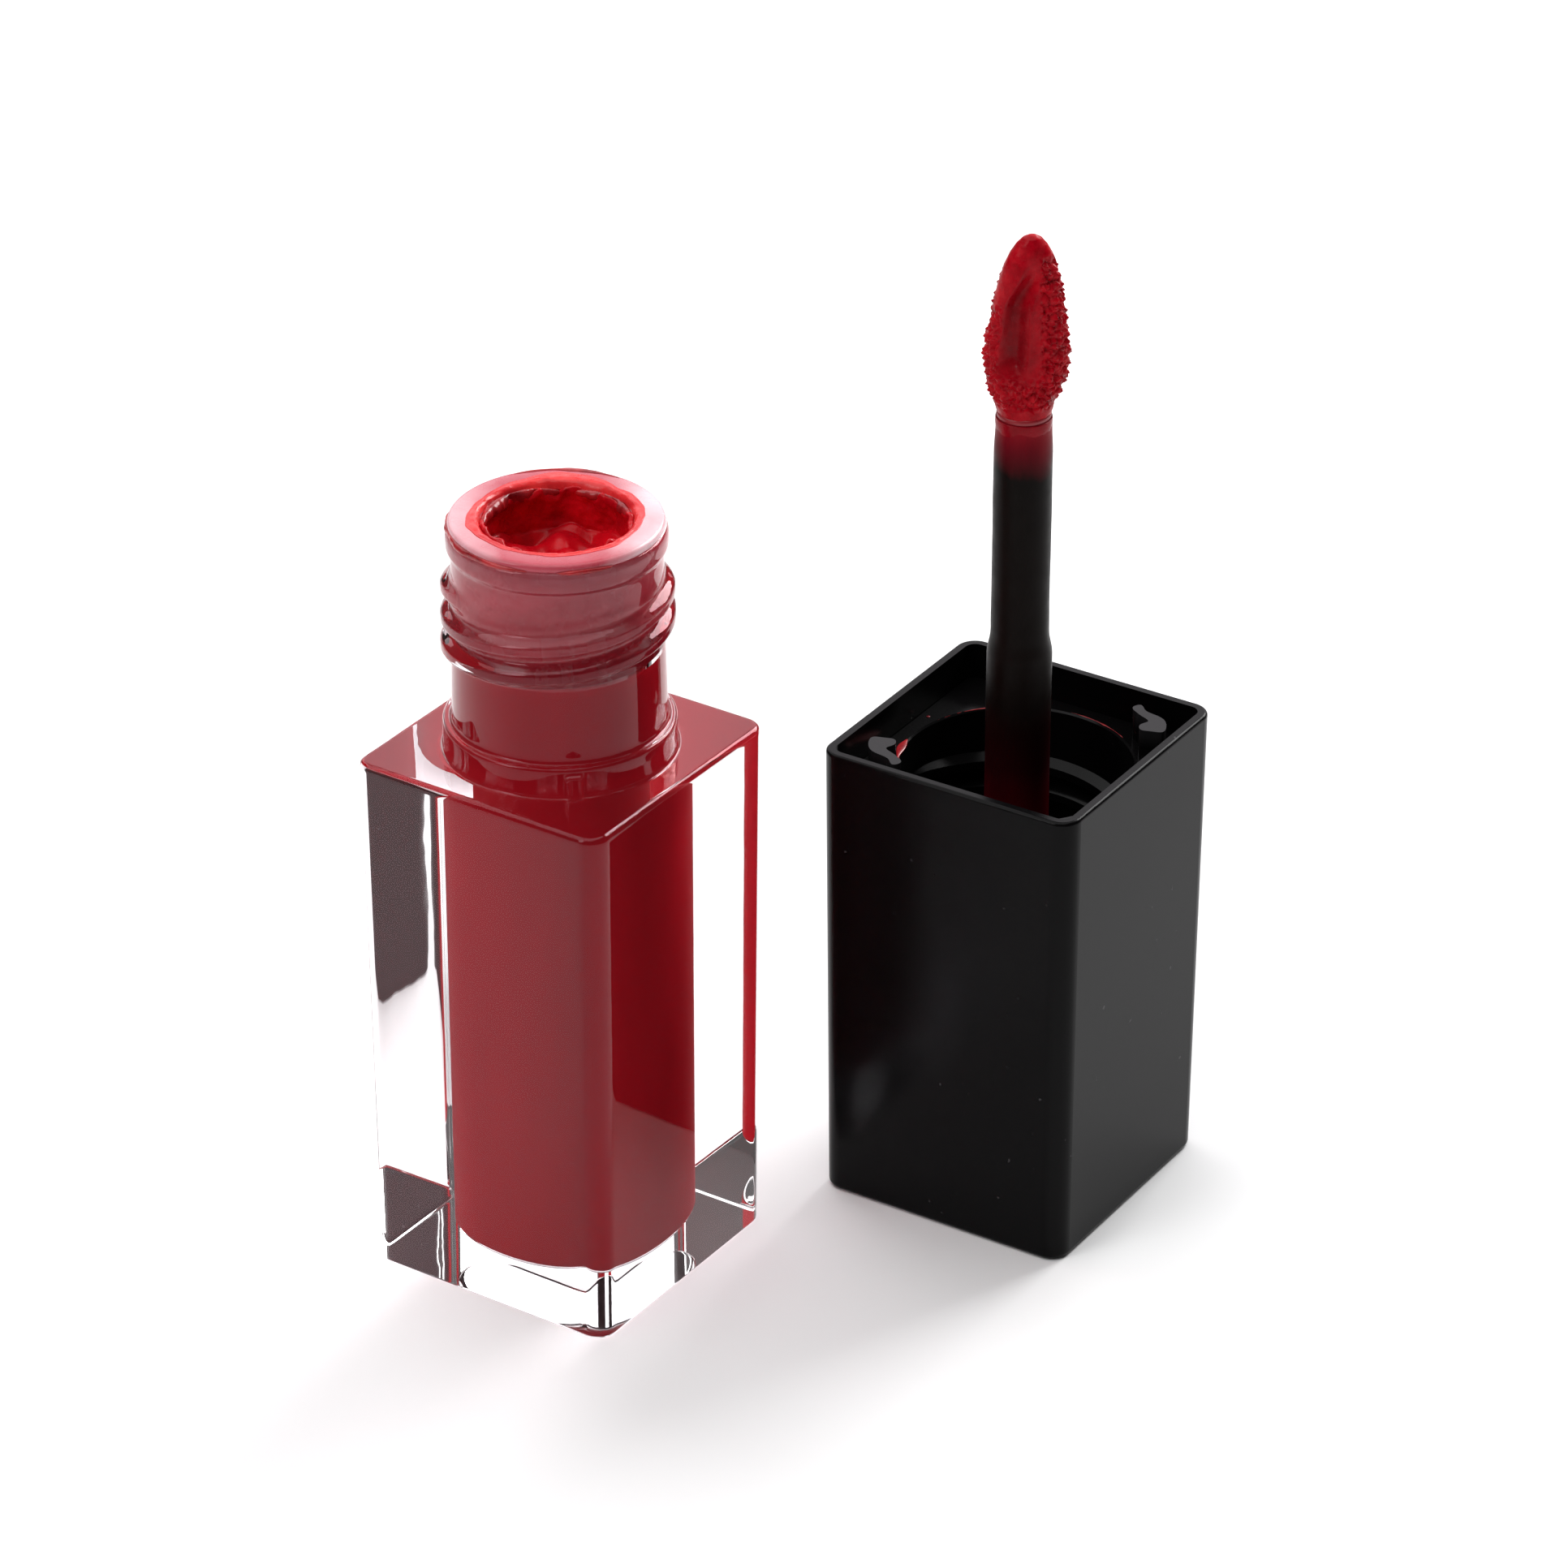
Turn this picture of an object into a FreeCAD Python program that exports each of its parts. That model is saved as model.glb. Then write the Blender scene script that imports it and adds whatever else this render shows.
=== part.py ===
"""Square lip-colour tube standing open: a thick clear bottle, and its black screw cap standing
on its closed end beside it with the wand pointing up. Millimetres, bottle base centre at the origin."""
import math
import os

import FreeCAD
import Part
from FreeCAD import Placement, Rotation, Vector

os.makedirs("parts", exist_ok=True)

# Bottle block: square, slightly narrower at its base so that it leaves its mould
bottle_side = 20.2
shoulder_height = 39.5
mould_draft_deg = 0.4
bottle_corner_radius = 1.5
bottle_edge_radius = 0.5
bottle_foot_radius = 0.2
base_thickness = 2.3
cavity_radius = 5.95
cavity_floor_radius = 0.5

# Bottle neck
ring_radius = 7.9
ring_height = 2.2
ring_edge = 0.25
lug_width = 1.0
lug_height = 1.7
lug_proud = 0.3
lug_angle_deg = -47.5
neck_foot_radius = 7.27
neck_radius = 7.1
neck_top = 55.95
bead_radius = 7.43
bead_bottom = 54.5
thread_crest_radius = 7.85
thread_lead = 4.0
thread_ridges = [
    {"start_deg": 150.0, "bottom": 46.7, "turns": 1.29},
    {"start_deg": 50.0, "bottom": 47.6, "turns": 1.07},
]
thread_foot_width = 1.7
thread_crest_width = 0.6
thread_runout_deg = 40.0

# Wiper insert, pressed into the neck
wiper_flange_radius = 7.25
wiper_top = 56.5
wiper_outer_radius = 5.92
wiper_bore_radius = 5.1
wiper_bottom = 44.0
wiper_cone_height = 3.0
wiper_lip = 0.6
wiper_hole_radius = 2.15

# Lip colour in the bottle, up to its level in the wiper's throat
colour_gap = 0.02
colour_level = 53.2

# Cap, standing upside down on its closed end
cap_side = 20.0
cap_height = 35.2
cap_corner_radius = 1.5
cap_rim_round = 0.25
cap_end_round = 0.4
cap_wall = 0.7
cap_ledge = 0.2
cap_end_thickness = 1.2
cap_centre = Vector(20.5, 25.3, 0)
cap_turned_deg = 1.5

# Threaded insert inside the cap
plate_recess = 2.65
plate_thickness = 0.7
plate_gap = 0.04
socket_outer_radius = 8.72
socket_radius = 8.12
socket_thread_radius = 7.42
socket_thread_depth = 8.0
socket_depth = 16.7
socket_edge = 0.12
socket_floor_thickness = 1.0
key_height = 2.25
key_outline = [
    (4.80, 8.00), (5.07, 8.25), (5.63, 7.80), (6.40, 7.55), (7.20, 7.38), (8.10, 6.45), (8.25, 5.65),
    (7.50, 5.30), (6.80, 5.15), (6.43, 5.80), (6.65, 6.45), (5.90, 6.88), (5.26, 7.20),
]
liner_thickness = 0.9
liner_radius = 8.0
stem_boss_radius = 3.4
stem_boss_height = 6.0

# Stem and applicator
stem_root_radius = 2.25
stem_step_height = 42.6
stem_radius = 2.0
stem_end_radius = 1.92
pivot_height = 59.6
seat_radius = 1.95
ball_radius = 1.87
tip_height = 72.5
flock_thickness = 0.35
applicator_facing_deg = 34.0
applicator_lean = 0.3


def centred_square(side, radius, z):
    """A wire: a square with rounded corners, centred on the Z axis."""
    half = side / 2
    edges = []
    for k in range(4):
        turn = Rotation(Vector(0, 0, 1), 90 * k)
        centre = turn.multVec(Vector(half - radius, half - radius, 0))
        arc = Part.Circle(Vector(centre.x, centre.y, z), Vector(0, 0, 1), radius)
        start = math.radians(90 * k)
        edges.append(Part.Edge(Part.Arc(arc, start, start + math.pi / 2)))
    joined = []
    for k in range(4):
        joined.append(edges[k])
        end = edges[k].valueAt(edges[k].LastParameter)
        start = edges[(k + 1) % 4].valueAt(edges[(k + 1) % 4].FirstParameter)
        joined.append(Part.makeLine(end, start))
    return Part.Wire(joined)


def square_block(side_top, radius, z_low, z_high, draft_deg=0.0):
    """A square block with rounded corners, narrower at the bottom by the draft."""
    narrower = 2 * (z_high - z_low) * math.tan(math.radians(draft_deg))
    wires = [
        centred_square(side_top - narrower, radius, z_low),
        centred_square(side_top, radius, z_high),
    ]
    return Part.makeLoft(wires, True, True)


def edges_at(shape, height, tolerance=0.01):
    """The shape's edges that lie flat at one height."""
    flat = []
    for edge in shape.Edges:
        box = edge.BoundBox
        if abs(box.ZMin - height) < tolerance and abs(box.ZMax - height) < tolerance:
            flat.append(edge)
    return flat


def revolved(points):
    """A solid turned about the Z axis from (radius, height) points."""
    wire = Part.makePolygon([Vector(r, 0, z) for r, z in points + points[:1]])
    return Part.Face(wire).revolve(Vector(0, 0, 0), Vector(0, 0, 1), 360)


def cylinder(radius, z_low, z_high):
    return Part.makeCylinder(radius, z_high - z_low, Vector(0, 0, z_low))


def thread_ridge(foot_radius, crest_radius, z_start, start_deg, turns):
    """One thread start: a tapered ridge that rises as it turns, and fades out at both ends."""
    outward = 1.0 if crest_radius > foot_radius else -1.0
    sunk = foot_radius - 0.2 * outward
    total_deg = 360.0 * turns
    steps = int(total_deg / 12)
    sections = []
    for k in range(steps + 1):
        turned = total_deg * k / steps
        fade = min(1.0, turned / thread_runout_deg, (total_deg - turned) / thread_runout_deg)
        fade = 0.08 + 0.92 * math.sin(fade * math.pi / 2)
        crest = foot_radius + (crest_radius - foot_radius) * fade
        foot = thread_foot_width / 2
        top = thread_crest_width / 2 * fade + foot * (1 - fade) * 0.6
        z = z_start + thread_lead * turned / 360
        angle = math.radians(start_deg + turned)
        corners = [(sunk, -foot), (sunk, foot), (crest, top), (crest, -top)]
        points = [Vector(r * math.cos(angle), r * math.sin(angle), z + dz) for r, dz in corners]
        sections.append(Part.makePolygon(points + points[:1]))
    return Part.makeLoft(sections, True, False)


def make_bottle():
    """Clear block, neck ring with its stop lug, threaded neck and the cavity through them."""
    block = square_block(bottle_side, bottle_corner_radius, 0, shoulder_height, mould_draft_deg)
    block = block.makeFillet(bottle_edge_radius, edges_at(block, shoulder_height))
    block = block.makeFillet(bottle_foot_radius, edges_at(block, 0))
    ring_top = shoulder_height + ring_height
    neck = revolved([
        (0, shoulder_height - 2),
        (ring_radius, shoulder_height - 2),
        (ring_radius, ring_top - ring_edge),
        (ring_radius - ring_edge, ring_top),
        (neck_foot_radius + 0.15, ring_top),
        (neck_foot_radius, ring_top + 0.3),
        (neck_radius, bead_bottom - 3),
        (neck_radius, bead_bottom - 0.3),
        (bead_radius - 0.12, bead_bottom),
        (bead_radius, bead_bottom + 0.3),
        (bead_radius, neck_top - 0.35),
        (bead_radius - 0.3, neck_top),
        (0, neck_top),
    ])
    lug = Part.makeBox(
        ring_radius + lug_proud, lug_width, lug_height, Vector(0, -lug_width / 2, shoulder_height - 0.01)
    )
    lug.rotate(Vector(0, 0, 0), Vector(0, 0, 1), lug_angle_deg)
    solid = block.fuse(neck).fuse(lug)
    for ridge in thread_ridges:
        solid = solid.fuse(
            thread_ridge(neck_radius, thread_crest_radius, ridge["bottom"], ridge["start_deg"], ridge["turns"])
        )
    floor = base_thickness
    cavity = revolved([
        (0, floor),
        (cavity_radius, floor),
        (cavity_radius, neck_top + 1),
        (0, neck_top + 1),
    ])
    cavity = cavity.makeFillet(cavity_floor_radius, edges_at(cavity, floor))
    return solid.cut(cavity)


def make_wiper():
    """Soft insert: flange on the neck's top, tube, and a cone down to the wiping hole."""
    cone_top = wiper_bottom + wiper_cone_height
    outline = [
        (wiper_hole_radius, wiper_bottom),
        (wiper_hole_radius + 1.0, wiper_bottom),
        (wiper_outer_radius - 0.5, cone_top - 0.6),
        (wiper_outer_radius, cone_top + 0.3),
        (wiper_outer_radius, neck_top),
        (wiper_flange_radius, neck_top),
        (wiper_flange_radius, wiper_top - 0.2),
        (wiper_flange_radius - 0.2, wiper_top),
        (wiper_bore_radius + 0.3, wiper_top),
        (wiper_bore_radius, wiper_top - 0.3),
        (wiper_bore_radius, cone_top),
        (wiper_hole_radius, wiper_bottom + wiper_lip),
    ]
    return revolved(outline)


def make_colour():
    """The liquid fills the cavity under the wiper, the wiping hole and part of the throat."""
    gap = colour_gap
    cone_top = wiper_bottom + wiper_cone_height
    floor = base_thickness + gap
    under_wiper = wiper_bottom - gap
    level = colour_level
    liquid = revolved([
        (0, floor),
        (cavity_radius - gap, floor),
        (cavity_radius - gap, under_wiper),
        (wiper_hole_radius - gap, under_wiper),
        (wiper_hole_radius - gap, wiper_bottom + wiper_lip + gap),
        (wiper_bore_radius - gap, cone_top + 2 * gap),
        (wiper_bore_radius - gap, level),
        (0, level - 0.5),
    ])
    return liquid.makeFillet(cavity_floor_radius, edges_at(liquid, floor))


def make_cap_shell():
    """Square black sleeve, closed at the table end, with a ledge that the insert sits on."""
    shell = square_block(cap_side, cap_corner_radius, 0, cap_height, mould_draft_deg)
    shell = shell.makeFillet(cap_end_round, edges_at(shell, 0))
    shell = shell.makeFillet(cap_rim_round, edges_at(shell, cap_height))
    pocket_side = cap_side - 2 * cap_wall
    ledge_height = cap_height - plate_recess - plate_thickness
    pocket = square_block(pocket_side, cap_corner_radius - cap_wall, ledge_height, cap_height + 1)
    inside = square_block(
        pocket_side - 2 * cap_ledge, cap_corner_radius - cap_wall, cap_end_thickness, ledge_height + 1
    )
    return shell.cut(pocket).cut(inside)


def socket_floor_height():
    """Top of the insert's floor, under the liner."""
    return cap_height - socket_depth - liner_thickness


def make_inner_cap():
    """Threaded insert: square plate round the mouth, socket, floor, and a boss for the stem."""
    plate_top = cap_height - plate_recess
    plate_side = cap_side - 2 * cap_wall - 2 * plate_gap
    plate = square_block(
        plate_side, cap_corner_radius - cap_wall, plate_top - plate_thickness, plate_top
    )
    floor_top = socket_floor_height()
    floor_low = floor_top - socket_floor_thickness
    socket = cylinder(socket_outer_radius, floor_low, plate_top - 0.1)
    boss = cylinder(stem_boss_radius, floor_low - stem_boss_height, floor_low + 0.1)
    solid = plate.fuse(socket).fuse(boss)
    mouth = revolved([
        (0, floor_top),
        (socket_radius, floor_top),
        (socket_radius, plate_top - socket_edge),
        (socket_radius + socket_edge, plate_top),
        (socket_radius + socket_edge, plate_top + 1),
        (0, plate_top + 1),
    ])
    solid = solid.cut(mouth)
    solid = solid.cut(cylinder(stem_root_radius + colour_gap, floor_low - stem_boss_height + 1, floor_top + 1))
    for start_deg in (150, 330):
        ridge = thread_ridge(socket_radius, socket_thread_radius, plate_top - socket_thread_depth, start_deg, 1.1)
        solid = solid.fuse(ridge)
    return solid.fuse(make_key(0)).fuse(make_key(180))


def make_liner():
    """Soft sealing ring on the insert's floor, round the stem."""
    floor_top = socket_floor_height() + 0.01
    ring = cylinder(liner_radius, floor_top, floor_top + liner_thickness)
    ring = ring.makeFillet(0.25, edges_at(ring, floor_top + liner_thickness))
    return ring.cut(cylinder(stem_root_radius + 0.05, floor_top - 1, floor_top + 2))


def make_key(turned_deg):
    """Comma-shaped stop key that stands on a corner of the insert's plate."""
    curve = Part.BSplineCurve()
    plate_top = cap_height - plate_recess
    curve.interpolate([Vector(x, y, plate_top - 0.1) for x, y in key_outline], PeriodicFlag=True)
    key = Part.Face(Part.Wire(curve.toShape())).extrude(Vector(0, 0, key_height + 0.1))
    key.rotate(Vector(0, 0, 0), Vector(0, 0, 1), turned_deg)
    return key


def make_stem():
    """Black rod of the wand, with a round seat at its end for the flexible applicator."""
    root = socket_floor_height() - socket_floor_thickness - stem_boss_height + 1.02
    rod = revolved([
        (0, root),
        (stem_root_radius, root),
        (stem_root_radius, stem_step_height - 1.0),
        (stem_radius, stem_step_height),
        (stem_radius, pivot_height - 3),
        (stem_end_radius, pivot_height - 1),
        (stem_end_radius, pivot_height - 0.1),
        (0, pivot_height - 0.1),
    ])
    return rod.cut(Part.makeSphere(seat_radius, Vector(0, 0, pivot_height)))


# Applicator outline: height above the pivot as a share of its length, half width, half depth
leaf = [
    (0.00, 1.90, 1.88),
    (0.06, 2.12, 1.88),
    (0.13, 2.58, 1.86),
    (0.22, 2.88, 1.84),
    (0.34, 3.00, 1.82),
    (0.46, 2.82, 1.76),
    (0.60, 2.52, 1.64),
    (0.73, 2.20, 1.45),
    (0.83, 1.86, 1.25),
    (0.90, 1.50, 1.04),
    (0.95, 1.12, 0.82),
    (0.985, 0.70, 0.56),
    (1.00, 0.40, 0.36),
]


def leaf_body(inset):
    """The leaf-shaped blade: a smooth loft through level ellipses, from the pivot to the tip."""
    length = tip_height - pivot_height - inset
    rings = []
    for share, half_width, half_depth in leaf:
        shrink = inset * (1 - 0.75 * max(0.0, share - 0.9) / 0.1)
        ellipse = Part.Ellipse(Vector(0, 0, 0), half_width - shrink + 0.001, half_depth - shrink)
        ellipse.rotate(Placement(Vector(0, 0, 0), Rotation(Vector(0, 0, 1), applicator_facing_deg - cap_turned_deg)))
        centre = Vector(applicator_lean * share, 0, pivot_height + share * length)
        ellipse.translate(centre)
        rings.append(Part.Wire(ellipse.toShape()))
    return Part.makeLoft(rings, True, False)


def make_applicator():
    """Moulded core with a ball root, and the flock coat around it."""
    coat = leaf_body(0.0).cut(leaf_body(flock_thickness))
    ball = Part.makeSphere(ball_radius, Vector(0, 0, pivot_height))
    ball = ball.common(cylinder(3, pivot_height - 3, pivot_height - 0.02))
    post = cylinder(1.2, pivot_height - 1, pivot_height + 1)
    blade = leaf_body(flock_thickness + 0.02)
    return ball.fuse(post).fuse(blade), coat


def on_cap(shape):
    """Moves a shape from the cap's own axis to where the cap stands."""
    moved = shape.copy()
    moved.Placement = Placement(cap_centre, Rotation(Vector(0, 0, 1), cap_turned_deg)).multiply(moved.Placement)
    return moved


core, flock = make_applicator()
pieces = {
    "bottle": make_bottle(),
    "wiper_insert": make_wiper(),
    "lip_colour_fill": make_colour(),
    "cap_shell": on_cap(make_cap_shell()),
    "inner_cap": on_cap(make_inner_cap()),
    "seal_liner": on_cap(make_liner()),
    "stem": on_cap(make_stem()),
    "applicator_core": on_cap(core),
    "applicator_flock": on_cap(flock),
}
for name, shape in pieces.items():
    solids = shape.Solids
    print(name, "solids", len(solids), "valid", shape.isValid(), "volume", round(shape.Volume, 2))
    solids[0].exportStep("parts/" + name + ".step")
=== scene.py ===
import math

import bpy
import numpy as np
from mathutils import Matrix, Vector, noise


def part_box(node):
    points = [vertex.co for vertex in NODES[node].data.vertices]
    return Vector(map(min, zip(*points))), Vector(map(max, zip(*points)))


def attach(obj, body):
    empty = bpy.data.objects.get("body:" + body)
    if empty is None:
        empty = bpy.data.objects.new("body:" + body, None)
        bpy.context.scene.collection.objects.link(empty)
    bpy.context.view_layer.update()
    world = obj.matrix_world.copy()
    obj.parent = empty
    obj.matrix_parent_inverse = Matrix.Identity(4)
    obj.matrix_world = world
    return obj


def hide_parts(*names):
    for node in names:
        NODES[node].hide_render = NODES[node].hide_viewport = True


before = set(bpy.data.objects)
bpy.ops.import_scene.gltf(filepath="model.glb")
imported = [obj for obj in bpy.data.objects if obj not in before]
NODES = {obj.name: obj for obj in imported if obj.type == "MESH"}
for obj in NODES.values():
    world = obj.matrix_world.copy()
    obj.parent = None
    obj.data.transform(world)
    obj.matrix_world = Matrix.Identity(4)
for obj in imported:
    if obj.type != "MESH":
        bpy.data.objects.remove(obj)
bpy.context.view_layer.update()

MM = 0.001


def node_box(name):
    """Lowest and highest corners of a CAD node at rest, in millimetres."""
    low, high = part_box(name)
    return np.array(low) / MM, np.array(high) / MM


cap_low, cap_high = node_box("cap_shell")
CAP = np.array([(cap_low[0] + cap_high[0]) / 2, (cap_low[1] + cap_high[1]) / 2, 0.0])
CAP_TURN = math.radians(1.5)
CAP_RIM = cap_high[2]
TIP = node_box("applicator_flock")[1][2]
PIVOT = node_box("applicator_flock")[0][2]
FACING = math.radians(34.0)  # direction of the applicator's width, from +X
RIGHTWARD = (0.83, 0.56)  # nearly the same direction, as a level vector for the materials


# ---------------------------------------------------------------- meshes


def finish_mesh(name, verts, faces):
    """A smooth-shaded object from points in millimetres."""
    mesh = bpy.data.meshes.new(name)
    mesh.from_pydata([tuple(float(c) * MM for c in v) for v in verts], [], faces)
    mesh.update()
    mesh.polygons.foreach_set("use_smooth", [True] * len(mesh.polygons))
    obj = bpy.data.objects.new(name, mesh)
    bpy.context.collection.objects.link(obj)
    return obj


def ring_mesh(name, rings, close_start=True, close_end=True):
    """A closed skin through rings of equal length; each end is closed to its middle point."""
    count = len(rings[0])
    verts = [p for ring in rings for p in ring]
    faces = []
    for i in range(len(rings) - 1):
        a, b = i * count, (i + 1) * count
        for j in range(count):
            k = (j + 1) % count
            faces.append((a + j, a + k, b + k, b + j))
    if close_start:
        verts.append(np.mean(rings[0], axis=0))
        m = len(verts) - 1
        faces += [(m, (j + 1) % count, j) for j in range(count)]
    if close_end:
        verts.append(np.mean(rings[-1], axis=0))
        m = len(verts) - 1
        a = (len(rings) - 1) * count
        faces += [(m, a + j, a + (j + 1) % count) for j in range(count)]
    return finish_mesh(name, verts, faces)


def circle_ring(angles, radius, z):
    """Points of a ring round the Z axis; radius and height may change round it."""
    radius = np.broadcast_to(radius, angles.shape)
    z = np.broadcast_to(z, angles.shape)
    return np.stack([radius * np.cos(angles), radius * np.sin(angles), z], axis=-1)


def smoothstep(low, high, x):
    """Rises smoothly from nought at low to one at high."""
    t = np.clip((np.asarray(x, float) - low) / (high - low), 0, 1)
    return t * t * (3 - 2 * t)


def noise3(x, y, z, scale, seed=0.0):
    """Smooth noise, about -1 to 1; the seed shifts it."""
    return noise.noise(Vector((x * scale + seed, y * scale - seed, z * scale + 2 * seed)))


def fractal3(x, y, z, scale, seed=0.0, octaves=3):
    """Layers of noise, each twice as fine and half as strong as the one before."""
    total, size = 0.0, 1.0
    for k in range(octaves):
        total += size * noise3(x, y, z, scale * 2**k, seed + 7.3 * k)
        size *= 0.5
    return total


# ---------------------------------------------------------------- materials


class Mat:
    """A node material around one Principled shader."""

    def __init__(self, name, colour=(0.8, 0.8, 0.8), roughness=0.5, **sockets):
        self.m = bpy.data.materials.new(name)
        self.m.use_nodes = True
        self.nt = self.m.node_tree
        self.p = self.nt.nodes["Principled BSDF"]
        self.out = self.nt.nodes["Material Output"]
        self.p.inputs["Base Color"].default_value = (*colour, 1)
        self.p.inputs["Roughness"].default_value = roughness
        for key, value in sockets.items():
            self.p.inputs[key.replace("_", " ")].default_value = value
        self.coords = self.nt.nodes.new("ShaderNodeTexCoord").outputs["Object"]

    def node(self, kind, **values):
        n = self.nt.nodes.new(kind)
        for key, value in values.items():
            if key in n.inputs.keys():
                n.inputs[key].default_value = value
            else:
                setattr(n, key, value)
        return n

    def link(self, a, b):
        self.nt.links.new(a, b)

    def noise(self, scale, detail=3.0, roughness=0.55, stretch=(1, 1, 1)):
        mapping = self.node("ShaderNodeMapping")
        mapping.inputs["Scale"].default_value = stretch
        self.link(self.coords, mapping.inputs["Vector"])
        n = self.node("ShaderNodeTexNoise", Scale=scale, Detail=detail, Roughness=roughness)
        self.link(mapping.outputs[0], n.inputs["Vector"])
        return n.outputs["Fac"]

    def ramp(self, factor, stops):
        """A colour that runs through the stops as the factor grows."""
        r = self.node("ShaderNodeValToRGB")
        while len(r.color_ramp.elements) < len(stops):
            r.color_ramp.elements.new(0.5)
        for element, (position, colour) in zip(r.color_ramp.elements, stops):
            element.position = position
            element.color = (*colour, 1)
        self.link(factor, r.inputs["Fac"])
        return r.outputs["Color"]

    def remap(self, factor, from_low, from_high, to_low, to_high):
        n = self.node("ShaderNodeMapRange", clamp=True)
        self.link(factor, n.inputs["Value"])
        n.inputs["From Min"].default_value = from_low
        n.inputs["From Max"].default_value = from_high
        n.inputs["To Min"].default_value = to_low
        n.inputs["To Max"].default_value = to_high
        return n.outputs["Result"]

    def math(self, operation, a, b):
        n = self.node("ShaderNodeMath", operation=operation)
        for socket, value in zip(n.inputs, (a, b)):
            if isinstance(value, (int, float)):
                socket.default_value = value
            else:
                self.link(value, socket)
        return n.outputs[0]

    def axis(self, name):
        n = self.node("ShaderNodeSeparateXYZ")
        self.link(self.coords, n.inputs[0])
        return n.outputs[name]

    def rightward(self):
        """How far a point lies along RIGHTWARD, in metres."""
        x = self.math("MULTIPLY", self.axis("X"), RIGHTWARD[0])
        return self.math("ADD", x, self.math("MULTIPLY", self.axis("Y"), RIGHTWARD[1]))

    def wobble(self, scale, stretch, size):
        """Noise centred on nought, times a size in metres, for edges that wander."""
        centred = self.math("SUBTRACT", self.noise(scale, 3.0, 0.5, stretch), 0.5)
        return self.math("MULTIPLY", centred, size)

    def base_colour(self):
        """What feeds the base colour now."""
        return self.p.inputs["Base Color"].links[0].from_socket

    def mix(self, factor, a, b):
        n = self.node("ShaderNodeMix", data_type="RGBA")
        if isinstance(factor, (int, float)):
            n.inputs[0].default_value = factor
        else:
            self.link(factor, n.inputs[0])
        for socket, value in ((n.inputs[6], a), (n.inputs[7], b)):
            if isinstance(value, tuple):
                socket.default_value = (*value, 1)
            else:
                self.link(value, socket)
        return n.outputs[2]

    def colour(self, socket):
        self.link(socket, self.p.inputs["Base Color"])

    def roughness(self, socket):
        self.link(socket, self.p.inputs["Roughness"])

    def bump(self, height, strength, distance):
        b = self.node("ShaderNodeBump", Strength=strength, Distance=distance)
        self.link(height, b.inputs["Height"])
        self.link(b.outputs[0], self.p.inputs["Normal"])

    def lamps_through(self, tint):
        """Lets lamp light pass straight through, as clear plastic does."""
        path = self.node("ShaderNodeLightPath")
        clear = self.node("ShaderNodeBsdfTransparent")
        clear.inputs["Color"].default_value = (*tint, 1)
        mix = self.node("ShaderNodeMixShader")
        self.link(path.outputs["Is Shadow Ray"], mix.inputs[0])
        self.link(self.p.outputs[0], mix.inputs[1])
        self.link(clear.outputs[0], mix.inputs[2])
        self.link(mix.outputs[0], self.out.inputs["Surface"])


def clear_plastic():
    """Clear plastic with a faint pink cast and a little haze."""
    m = Mat("clear_plastic", (0.985, 0.955, 0.968), 0.015, Transmission_Weight=1.0, IOR=1.49)
    m.p.inputs["Specular Tint"].default_value = (0.8, 0.45, 0.5, 1)
    haze = m.noise(500, 2.0, 0.5, (1, 1, 0.1))
    m.roughness(m.remap(haze, 0.5, 0.75, 0.004, 0.016))
    m.bump(m.noise(140, 2.0), 0.05, 0.0002)
    m.lamps_through((0.97, 0.92, 0.94))
    return m.m


def colour_in_bottle():
    """The liquid as it shows through the clear wall."""
    m = Mat("colour_in_bottle", (0.25, 0.003, 0.007), 0.5, Specular_IOR_Level=0.02)
    cloud = m.noise(160, 3.0, 0.5, (1, 1, 0.35))
    m.colour(m.ramp(cloud, [(0.3, (0.235, 0.003, 0.007)), (0.7, (0.275, 0.004, 0.009))]))
    m.roughness(m.remap(cloud, 0.3, 0.7, 0.55, 0.45))
    return m.m


def wet_colour(name, deep, bright, gloss=0.25):
    """Lip colour, clouded between a deep and a bright tone."""
    m = Mat(name, bright, 0.26, Specular_IOR_Level=gloss, Coat_Weight=gloss, Coat_Roughness=0.12)
    cloud = m.noise(420, 4.0, 0.6)
    m.colour(m.ramp(cloud, [(0.35, deep), (0.65, bright)]))
    m.roughness(m.remap(m.noise(1500, 3.0), 0.3, 0.7, 0.2, 0.42))
    m.bump(m.noise(2000, 3.0, 0.6), 0.3, 0.00007)
    return m.m


def wiper_plastic():
    """Soft translucent plastic, veiled by colour more and more towards its foot; its top is painted paler at
    the left and the right as painted highlights.
    """
    m = Mat("wiper_plastic", (0.6, 0.16, 0.2), 0.24, Subsurface_Weight=0.15, Subsurface_Scale=0.0005)
    m.p.inputs["Subsurface Radius"].default_value = (1.0, 0.35, 0.35)
    m.p.inputs["Specular IOR Level"].default_value = 0.35
    wobble = m.wobble(210, (1, 1, 2.2), 0.006)
    along = m.remap(m.math("ADD", m.axis("Z"), wobble), 0.046, 0.0566, 0.0, 1.0)
    m.colour(m.ramp(along, [
        (0.0, (0.2, 0.004, 0.01)),
        (0.28, (0.24, 0.01, 0.018)),
        (0.5, (0.34, 0.022, 0.034)),
        (0.8, (0.46, 0.045, 0.066)),
        (0.97, (0.5, 0.07, 0.1)),
    ]))
    # Painted highlights: the top of the flange is mixed towards a pale pink at its left and right.
    across = m.math("ADD", m.rightward(), wobble)
    right_side = m.remap(across, 0.0025, 0.007, 0.0, 0.85)
    left_side = m.remap(across, -0.0035, -0.007, 0.0, 0.55)
    top = m.remap(m.axis("Z"), 0.0545, 0.0562, 0.0, 1.0)
    painted_highlight = m.math("MULTIPLY", m.math("MAXIMUM", right_side, left_side), top)
    m.colour(m.mix(painted_highlight, m.base_colour(), (0.96, 0.7, 0.75)))
    m.roughness(m.remap(m.noise(900, 2.0), 0.3, 0.7, 0.14, 0.34))
    return m.m


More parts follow.
